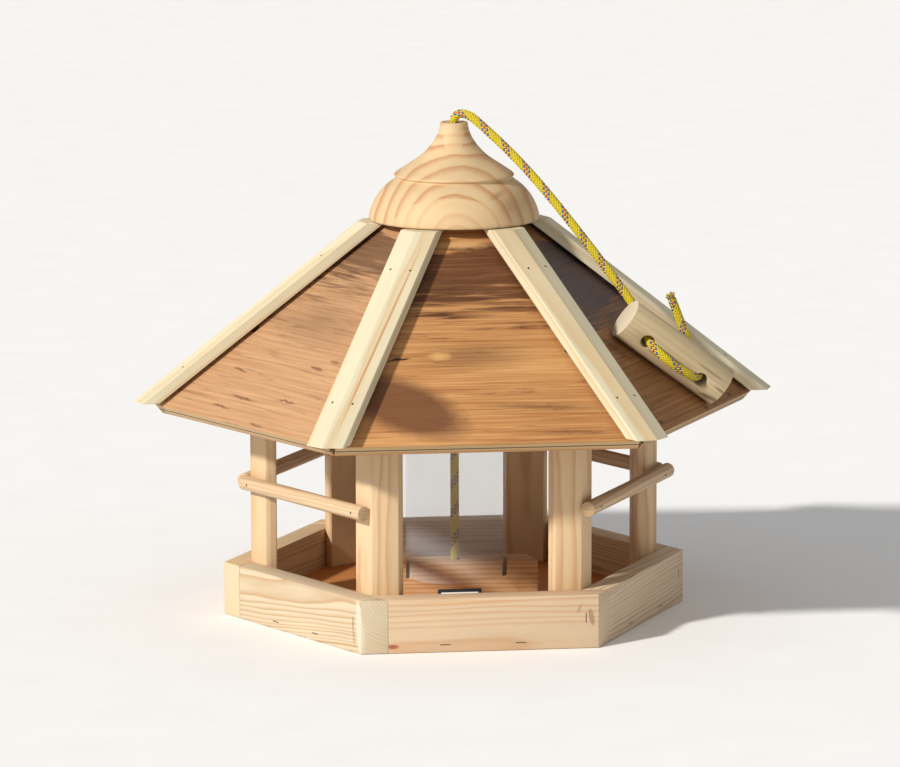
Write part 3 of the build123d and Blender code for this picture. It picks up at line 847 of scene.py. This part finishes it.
@dataclass
class Rope:
    """Braided rope: a free length from the cap to the toggle, and a straight length inside the tube."""

    braid: Braid = field(default_factory=Braid)
    exit: Vector = field(default_factory=lambda: Vector((0.0, 0.0, 0.3343)))
    length: float = 0.372
    knot_strand: float = 2.7 * MM
    knot_inset: float = 2.9 * MM
    route: tuple[tuple[float, float, float], ...] = (
        (0.0, 0.0, 0.3343),
        (0.0007, -0.0003, 0.3397),
        (0.0091, -0.0041, 0.3397),
        (0.0174, -0.0078, 0.3327),
        (0.0372, -0.0168, 0.3140),
        (0.05833, -0.02634, 0.2903),
        (0.09033, -0.04056, 0.2488),
        (0.12233, -0.05478, 0.20447),
        (0.118, -0.09297, 0.19338),
        (0.15407, -0.08932, 0.16672),
        (0.1584, -0.05113, 0.17781),
        (0.150, -0.0435, 0.195),
        (0.1463, -0.042, 0.2065),
        (0.142, -0.0425, 0.217),
    )

    def centreline(self) -> list[Vector]:
        """Points along the free length's smooth line.

        Returns:
            The points in metres.
        """
        curve = bpy.data.curves.new("rope_line", "CURVE")
        curve.dimensions = "3D"
        curve.resolution_u = 24
        spline = curve.splines.new("NURBS")
        spline.points.add(len(self.route) - 1)
        for point, place in zip(spline.points, self.route):
            point.co = (*place, 1.0)
        spline.order_u = 3
        spline.use_endpoint_u = True
        mesh = mesh_of(curve)
        points = [v.co.copy() for v in mesh.vertices]
        bpy.data.meshes.remove(mesh)
        return points

    def yarns(self) -> list[Material]:
        """The three yarn materials, in the braid's order."""
        tones = {"yellow": "#D2BC12", "blue": "#2050A8", "red": "#CC3A2A"}
        return [BraidedPolypropylene(tone).make(f"polypropylene_yarn_{name}") for name, tone in tones.items()]

    def build(self, toggle: Piece) -> None:
        """Args:
            toggle: the wooden piece that the free length passes through; not used.
        """
        materials = self.yarns()
        path = self.centreline()
        lay, slot, node = self.braid.lay, "rope_fibre", "hanging_rope"
        free = make_piece(lay(path, True), "rope_free", Body.CAP, (node,), slot, *materials, smooth=70)
        low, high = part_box("inner_rope")
        ends = [Vector((0.0, 0.0, low.z)), Vector((0.0, 0.0, high.z))]
        make_piece(lay(ends, False), "rope_inside", Body.FRAME, ("inner_rope",), slot, *materials, smooth=70)
        self.knot(materials)

    def knot(self, materials: list[Material]) -> None:
        """Tie the stopper knot under the bar.

        Args:
            materials: yarn materials.
        """
        low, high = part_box("rope_knot")
        middle = (low + high) / 2
        reach = (high.x - low.x) / 2 - self.knot_inset
        rise = (high.z - low.z) / 2 - self.knot_inset
        curve = bpy.data.curves.new("knot_line", "CURVE")
        curve.dimensions = "3D"
        spline = curve.splines.new("NURBS")
        turns = 12
        spline.points.add(turns - 1)
        for number, point in enumerate(spline.points):
            angle = math.tau * number / turns
            spread = reach * (0.62 + 0.38 * math.cos(3 * angle))
            flat = Vector((math.cos(2 * angle), math.sin(2 * angle), 0.0)) * spread
            point.co = (*(middle + flat + UP * rise * math.sin(3 * angle)), 1.0)
        spline.order_u = 3
        spline.use_cyclic_u = True
        curve.bevel_depth = self.knot_strand
        curve.bevel_resolution = 4
        curve.resolution_u = 12
        mesh = mesh_of(curve)
        bm = bmesh.new()
        bm.from_mesh(mesh)
        bpy.data.meshes.remove(mesh)
        make_piece(bm, "rope_stopper_knot", Body.FRAME, ("rope_knot",), "rope_fibre", materials[0], smooth=70)


@dataclass
class Toggle:
    """Turned wooden toggle with two cross holes, on the rope."""

    axis: Vector = field(default_factory=lambda: Vector((0.8016, 0.0818, -0.5922)))
    hole: Vector = field(default_factory=lambda: Vector((-0.1085, -0.9542, -0.2786)))
    pith_up: float = 11.0 * MM
    pith_back: float = 4.0 * MM

    def build(self) -> Piece:
        """Make the toggle.

        Returns:
            The piece.
        """
        low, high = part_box("toggle")
        middle = (low + high) / 2
        up = self.axis.cross(self.hole)
        finish = PlanedSoftwood(
            spring="#C6B28C", summer="#A58A62", ring_mm=2.2, wobble=1.6, fibre=0.1, contrast=0.5,
            end_tone="#D9CDB8", rough=0.5,
            spots=(
                Spot(36, 7, 9, 2.2, "#6E5738", 0.75, -12),
                Spot(39, -2, 7, 1.2, "#6E5738", 0.6, 4),
                Spot(25, -8, 12, 1.0, "#7A6142", 0.45),
                Spot(-8, 4, 22, 0.7, "#7D6543", 0.4, 3),
            ),
        )
        face = Face(middle, self.axis, up)
        pith = middle + up * self.pith_up + self.hole * self.pith_back
        wood = finish.make("turned_spruce_toggle", pith, self.axis, up, face)
        return make_piece(cad_copy("toggle", 0.6), "toggle_wood", Body.CAP, ("toggle",), "toggle_wood", wood)


@dataclass
class TurnedCap:
    """Turned cap: a wide bell with a narrow collar and a dished neck."""

    profile: tuple[tuple[float, float], ...] = (
        (3.6, 0.0),
        (3.6, 2.0),
        (3.6, 60.0),
        (3.6, 64.0),
        (4.3, 64.9),
        (6.8, 65.3),
        (8.5, 66.0),
        (9.3, 65.4),
        (9.5, 63.6),
        (10.1, 59.9),
        (12.1, 55.2),
        (16.2, 49.1),
        (22.9, 42.3),
        (29.7, 38.2),
        (36.4, 33.7),
        (39.4, 31.7),
        (40.6, 30.5),
        (40.5, 29.6),
        (39.3, 28.8),
        (39.3, 28.0),
        (41.2, 26.6),
        (47.0, 22.5),
        (52.5, 16.0),
        (56.0, 9.0),
        (57.7, 2.9),
        (57.8, 0.9),
        (57.0, 0.0),
        (54.0, 0.0),
    )

    def build(self) -> Piece:
        """Turn the cap.

        Returns:
            The piece.
        """
        low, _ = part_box("roof_cap")
        bm = turned([(radius * MM, low.z + height * MM) for radius, height in self.profile], 72)
        finish = PlanedSoftwood(
            spring="#D2B78E", summer="#B98558", ring_mm=6.4, wobble=0.6, fibre=0.11, contrast=1.1,
            end_tone="#D8B88C", rough=0.5,
            spots=(
                Spot(36, 14, 13, 12, "#8E6038", 0.5, 30, 0.9),
                Spot(28, 21, 7, 3, "#8E6038", 0.5, 20, 0.9),
                Spot(10, 62, 8, 2, "#9A6E43", 0.35, 0, 0.9),
            ),
        )
        grain = Vector((0.16, 1.0, 0.06))
        face = Face(Vector((0.0, 0.0, low.z)), Vector((0.995, -0.10, 0.0)), UP)
        pith = Vector((0.004, 0.0, low.z - 0.004))
        wood = finish.make("turned_pine_cap", pith, grain, UP, face)
        piece = make_piece(bm, "cap_wood", Body.CAP, ("roof_cap",), "cap_wood", wood, smooth=60)
        soften = piece.modifiers.new("rounded", "SUBSURF")
        soften.levels = soften.render_levels = 2
        return piece


@dataclass
class Tray:
    """Six pine boards round a plywood floor."""

    apothem: float = 136.83 * MM
    board_round_mm: float = 0.7
    floor_round_mm: float = 0.3

    def finish(self, side: Side) -> tuple[PlanedSoftwood, float, float, float]:
        """Wood of one board, with its pith's depth, height and the grain's slope.

        Args:
            side: side that the board closes.

        Returns:
            Finish, depth and height in millimetres, and slope in degrees.
        """
        if side is Side.FRONT:
            spots = (
                Spot(-57.8, 4.5, 4.6, 1.8, "#9A4426", 0.8),
                Spot(-77, 18, 5.5, 22, "#DDD3BC", 0.75, 0, 0.3),
                Spot(74, 21, 2.2, 7, "#8C6A45", 0.6, 12),
                Spot(66, 27, 1.5, 4, "#A98355", 0.5, -25),
                Spot(-10, 33, 50, 2.0, "#C99A68", 0.35),
            )
            wood = PlanedSoftwood(
                spring="#D2BA9A", summer="#C3926A", ring_mm=2.9, wobble=1.8, fibre=0.07, contrast=0.8,
                spots=spots,
            )
            return wood, 27.0, 3.0, 0.6
        if side is Side.FRONT_LEFT:
            spots = (
                Spot(77, 18, 3.5, 22, "#DACFB8", 0.75, 4, 0.3),
                Spot(71, 12, 1.2, 9, "#8F6C48", 0.5, 8),
                Spot(-70, 20, 1.4, 6, "#9A774E", 0.5),
            )
            wood = PlanedSoftwood(
                spring="#CDBDA2", summer="#B08A5E", ring_mm=1.9, wobble=2.4, fibre=0.1, spots=spots
            )
            return wood, 22.0, 30.0, 5.5
        if side is Side.FRONT_RIGHT:
            wood = PlanedSoftwood(spring="#DBC6AA", summer="#B89874", ring_mm=1.8, wobble=2.4, fibre=0.11)
            return wood, 20.0, -6.0, 2.0
        wood = PlanedSoftwood(spring="#D6BE98", summer="#B98A5A", ring_mm=2.2, shift=side.value / 70)
        return wood, 24.0, 10.0 + side.value / 12, 1.5

    def build(self) -> None:
        """Make the boards and the floor."""
        for side in Side:
            node = f"tray_board_{side.name.lower()}"
            out, right = direction(side.value), direction(side.value + 90)
            finish, depth, height, slope = self.finish(side)
            pith = out * (self.apothem - depth * MM) + UP * height * MM
            grain = right + UP * math.tan(math.radians(slope))
            face = Face(out * self.apothem, right, UP)
            wood = finish.make(f"planed_spruce_board_{side.name.lower()}", pith, grain, UP, face)
            bm = cad_copy(node, self.board_round_mm)
            make_piece(bm, f"{node}_wood", Body.FRAME, (node,), "pine", wood)
        ply = ScorchedPly(
            burn_from=900, dark_to=950, streaks_to=990, pale="#DC9858", deep="#BB7840", sparse=0.9
        )
        wood = ply.make("birch_ply_floor", Vector((0.0, -0.12, 0.009)), Vector((1, 0, 0)), Vector((0, 1, 0)))
        floor = "tray_floor"
        bm = cad_copy(floor, self.floor_round_mm)
        make_piece(bm, "tray_floor_ply", Body.FRAME, (floor,), "floor_plywood", wood)


@dataclass
class Posts:
    """Six five-sided corner posts."""

    pith: float = 96.0 * MM
    pith_sway: float = 11.0 * MM
    round_mm: float = 0.7

    def build(self) -> None:
        """Make the posts."""
        for corner in Corner:
            node = f"corner_post_{corner.name.lower()}"
            out, right = direction(corner.value), direction(corner.value + 90)
            finish = PlanedSoftwood(
                spring="#DABE97", summer="#BC8350", ring_mm=5.0, wobble=1.4, fibre=0.08,
                shift=corner.value / 50, contrast=0.65, end_tone="#C9A678",
            )
            pith = out * self.pith + right * self.pith_sway * math.sin(corner.value)
            wood = finish.make(f"planed_spruce_post_{corner.name.lower()}", pith, UP + right * 0.03, out)
            make_piece(cad_copy(node, self.round_mm), f"{node}_wood", Body.FRAME, (node,), "pine", wood)


@dataclass
class Perches:
    """Four beech dowels nailed across the posts."""

    pith_above: float = 13.0 * MM
    round_mm: float = 0.5

    def build(self) -> None:
        """Make the dowels."""
        for side in (Side.FRONT_LEFT, Side.FRONT_RIGHT, Side.BACK_RIGHT, Side.BACK_LEFT):
            node = f"perch_{side.name.lower()}"
            low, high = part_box(node)
            right = direction(side.value + 90)
            finish = PlanedSoftwood(
                spring="#D2B896", summer="#B48A5C", ring_mm=3.0, fibre=0.12, end_tone="#C2A27A", rough=0.45,
                shift=side.value / 33,
            )
            pith = (low + high) / 2 + UP * self.pith_above
            wood = finish.make(f"beech_dowel_{side.name.lower()}", pith, right + UP * 0.012, UP)
            bm = cad_copy(node, self.round_mm)
            make_piece(bm, f"{node}_wood", Body.FRAME, (node,), "dowel_wood", wood, smooth=50)


@dataclass
class Roof:
    """Six scorched plywood panels under six hip battens."""

    apex_height: float = 307.4 * MM
    hip_fall: float = 0.785
    ridge_angle: float = 8.0
    panel_round_mm: float = 0.4
    batten_round_mm: float = 0.6
    pith_down: float = 150.0 * MM
    pith_below: float = 24.0 * MM
    pith_aside: float = 6.0 * MM

    def panel_finish(self, side: Side) -> ScorchedPly:
        """Plywood of one panel.

        Args:
            side: side that the panel covers.

        Returns:
            The finish.
        """
        dark = "#4F301E"
        if side is Side.FRONT:
            spots = (
                Spot(44, 176, 62, 22, "#D6A468", 0.5, 0, 0.9),
                Spot(-3, 167, 44, 14, dark, 0.4, 0, 0.8),
                Spot(-25, 167, 10, 4.5, "#CFA264", 0.9, 0, 0.7),
                Spot(-52, 169, 9, 1.2, "#1E120C", 0.9, -7),
                Spot(-52, 208, 50, 25, "#6A4127", 0.9, 28, 0.4),
                Spot(38, 211, 46, 2.6, dark, 0.5, 3, 0.7),
                Spot(58, 232, 32, 2.2, dark, 0.45, 2, 0.7),
                Spot(0, 73, 24, 5, "#D2A874", 0.8, 0, 0.7),
            )
            return ScorchedPly(
                burn_from=77, dark_to=124, streaks_to=150, pale="#CF9C63", deep="#A2693B",
                burnt="#74462A", charred="#452212", sparse=0.7, spots=spots, seed=0.3
            )
        if side is Side.FRONT_LEFT:
            spots = (
                Spot(-4, 150, 58, 26, "#8E6A4C", 0.6, 0, 0.9),
                Spot(31, 184, 9, 1.4, dark, 0.6, 4),
                Spot(-43, 198, 10, 1.2, dark, 0.6, 6),
                Spot(28, 214, 12, 1.3, dark, 0.55, 3),
                Spot(-20, 219, 14, 1.1, dark, 0.5, 4),
                Spot(-33, 229, 12, 1.2, dark, 0.55, 4),
                Spot(44, 176, 7, 1.4, dark, 0.5, 4),
                Spot(16, 237, 10, 1.2, dark, 0.5, 4),
            )
            return ScorchedPly(
                burn_from=68, dark_to=104, streaks_to=168, pale="#C69C74", deep="#AC7F57", burnt="#8A6648",
                charred="#5A3C28", sparse=0.66, spots=spots, seed=1.7,
            )
        if side is Side.FRONT_RIGHT:
            # Painted shade tint: the grey in this panel's large patch and in its burnt and charred tones
            # copies the cool cast this side shows in shade, laid over the real char.
            spots = (
                Spot(0, 118, 34, 30, "#625659", 0.5, 0, 0.6),
                Spot(-28, 172, 7, 20, dark, 0.5, -30, 0.7),
                Spot(-61, 233, 3, 1.6, "#3A2419", 0.8),
                Spot(64, 236, 3, 1.6, "#3A2419", 0.8),
                Spot(16, 238, 3, 1.6, "#3A2419", 0.8),
            )
            return ScorchedPly(
                # burnt and charred here are partly painted shade: greyer than the other panels' chars because
                # this side is in shade.
                burn_from=78, dark_to=146, streaks_to=165, pale="#A87B4E", deep="#80512C", burnt="#736262",
                charred="#4C4344", sparse=0.72, spots=spots, seed=2.9,
            )
        return ScorchedPly(burn_from=74, dark_to=118, streaks_to=160, sparse=0.72, seed=side.value / 40)

    def build(self) -> None:
        """Make the panels and battens."""
        apex = UP * self.apex_height
        pitch = math.atan(self.hip_fall / math.cos(math.radians(30)))
        for side in Side:
            name = side.name.lower()
            out, right = direction(side.value), direction(side.value + 90)
            down = out * math.cos(pitch) - UP * math.sin(pitch)
            ply = self.panel_finish(side).make(f"scorched_ply_{name}", apex, right, down)
            node = f"roof_panel_{name}"
            bm = cad_copy(node, self.panel_round_mm)
            make_piece(bm, f"{node}_ply", Body.FRAME, (node,), "roof_plywood", ply)
        for corner in Corner:
            name = corner.name.lower()
            node = f"roof_batten_{name}"
            out, right = direction(corner.value), direction(corner.value + 90)
            slope = math.atan(self.hip_fall)
            down = out * math.cos(slope) - UP * math.sin(slope)
            up = out * math.sin(slope) + UP * math.cos(slope)
            spots = (Spot(170, 6.5, 95, 1.0, "#B9804C", 0.75, -0.8),) if corner is Corner.FRONT_LEFT else ()
            finish = PlanedSoftwood(
                spring="#D6CCAE", summer="#C8A878", ring_mm=5.0, wobble=1.2, fibre=0.06, contrast=0.8,
                end_tone="#C9BC9C", shift=corner.value / 40, spots=spots,
            )
            pith = apex + down * self.pith_down - up * self.pith_below + right * self.pith_aside
            face = Face(apex, down, right)
            wood = finish.make(f"planed_spruce_batten_{name}", pith, down + right * 0.02, right, face)
            bm = cad_copy(node, self.batten_round_mm)
            make_piece(bm, f"{node}_wood", Body.FRAME, (node,), "pine", wood, smooth=self.ridge_angle)


@dataclass
class SeedTube:
    """Clear tube standing in a kerfed bar."""

    outer: float = 35.3 * MM
    inner: float = 33.3 * MM
    lip: float = 0.5 * MM

    def build(self) -> None:
        """Make the tube and the bar."""
        low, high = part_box("silo_tube")
        wall = [(self.inner, low.z), (self.outer, low.z), (self.outer, high.z), (self.inner, high.z)]
        bm = turned(wall, 96)
        rims = [e for e in bm.edges if e.calc_face_angle(0.0) > math.radians(60)]
        ease(bm, rims, self.lip)
        plastic = ClearPolystyrene().make("clear_polystyrene_tube")
        make_piece(bm, "seed_tube_shell", Body.TUBE, ("silo_tube",), "clear_plastic", plastic, smooth=50)
        finish = PlanedSoftwood(spring="#DDB384", summer="#B98250", ring_mm=2.4)
        wood = finish.make("planed_spruce_bar", Vector((0.0, 0.012, -0.004)), Vector((1, 0.01, 0)), UP)
        bar = "tube_holder_bar"
        make_piece(cad_copy(bar, 0.4), "tube_bar_wood", Body.FRAME, (bar,), "pine", wood)


@dataclass
class Fasteners:
    """Nails, staples and screws, their heads a hair proud of the wood."""

    head_radius: float = 0.95 * MM
    head_depth: float = 0.6 * MM
    proud: float = 0.15 * MM
    wire: float = 1.1 * MM
    crown: float = 7.5 * MM
    steel: GalvanisedSteel = field(default_factory=GalvanisedSteel)

    def islands(self, node: str) -> list[list[Vector]]:
        """Corner points of each separate solid of a CAD part.

        Args:
            node: name of the CAD part.

        Returns:
            The points of each solid.
        """
        bm = cad_copy(node, 0.0)
        left = set(bm.verts)
        found = []
        while left:
            stack, group = [left.pop()], []
            while stack:
                vert = stack.pop()
                group.append(vert.co.copy())
                for edge in vert.link_edges:
                    other = edge.other_vert(vert)
                    if other in left:
                        left.discard(other)
                        stack.append(other)
            found.append(group)
        bm.free()
        return found

    def nails(self, node: str) -> None:
        """Make the nail heads of one CAD part.

        Args:
            node: name of the CAD part.
        """
        bm = bmesh.new()
        for group in self.islands(node):
            centre = sum(group, Vector()) / len(group)
            far = max(group, key=lambda p: (p - centre).length) - centre
            ahead = [p for p in group if (p - centre).dot(far) > 0]
            behind = [p for p in group if (p - centre).dot(far) <= 0]
            first, second = [sum(points, Vector()) / len(points) for points in (ahead, behind)]
            head = first if first.length > second.length else second
            out = (head - centre).normalized()
            turn = out.to_track_quat("Z", "Y").to_matrix().to_4x4()
            middle = head + out * (self.proud - self.head_depth / 2)
            bmesh.ops.create_cone(
                bm, cap_ends=True, segments=16, radius1=self.head_radius, radius2=self.head_radius * 0.8,
                depth=self.head_depth, matrix=Matrix.Translation(middle) @ turn,
            )
        steel = self.steel.make(f"zinc_coated_wire_{node}")
        make_piece(bm, f"{node}_heads", Body.FRAME, (node,), "steel_fasteners", steel)

    def staples(self, node: str) -> None:
        """Make the staple crowns of one CAD part.

        Args:
            node: name of the CAD part.
        """
        bm = bmesh.new()
        for group in self.islands(node):
            low = Vector([min(p[i] for p in group) for i in range(3)])
            high = Vector([max(p[i] for p in group) for i in range(3)])
            middle = (low + high) / 2
            azimuth = min((s.value for s in Side), key=lambda a: -middle.dot(direction(a)))
            out, right = direction(azimuth), direction(azimuth + 90)
            upright = high.z - low.z > 3 * MM
            reach = max(p.dot(out) for p in group)
            places = [p.dot(right) for p in group]
            along = (max(places) + min(places)) / 2
            axis = UP if upright else right
            centre = out * (reach + self.proud - self.wire / 2) + right * along + UP * middle.z
            across = axis.cross(out)
            turn = Matrix((across, out, axis)).transposed().to_4x4()
            radius, reach = self.wire / 2, (self.crown - self.wire) / 2
            bmesh.ops.create_cone(
                bm, cap_ends=True, segments=12, radius1=radius, radius2=radius, depth=2 * reach,
                matrix=Matrix.Translation(centre) @ turn,
            )
            for way in (-1, 1):
                end = Matrix.Translation(centre + axis * way * reach)
                bmesh.ops.create_icosphere(bm, subdivisions=2, radius=radius, matrix=end)
        steel = self.steel.make(f"zinc_coated_wire_{node}")
        make_piece(bm, f"{node}_crowns", Body.FRAME, (node,), "steel_fasteners", steel, smooth=60)

    def build(self) -> None:
        """Make all fasteners."""
        for node in ("batten_nails", "perch_nails"):
            self.nails(node)
        for node in ("corner_staples", "floor_staples"):
            self.staples(node)
        steel = self.steel.make("zinc_coated_screws")
        for node in ("roof_screws", "floor_screws", "holder_screws"):
            make_piece(cad_copy(node, 0.0), f"{node}_steel", Body.FRAME, (node,), "steel_fasteners", steel)


@dataclass
class Label:
    """Blank card fixed inside the front board."""

    border: float = 2.2

    def build(self) -> None:
        """Make the card."""
        low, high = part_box("blank_label")
        middle, half = (low + high) / 2, (high - low) / 2
        face = Face(middle, Vector((1, 0, 0)), UP)
        card = PrintedCard(half.x / MM, half.z / MM, self.border).make("printed_card", face)
        node = "blank_label"
        make_piece(cad_copy(node, 0.1), "label_card_blank", Body.FRAME, (node,), "label_card", card)


def main() -> None:
    """Build the studio and every part of the feeder."""
    logging.basicConfig(level=logging.INFO)
    Studio().build()
    Rope().build(Toggle().build())
    for part in (TurnedCap(), Roof(), Tray(), Posts(), Perches(), SeedTube(), Fasteners(), Label()):
        part.build()
    bpy.context.view_layer.update()


if __name__ == "__main__":
    main()
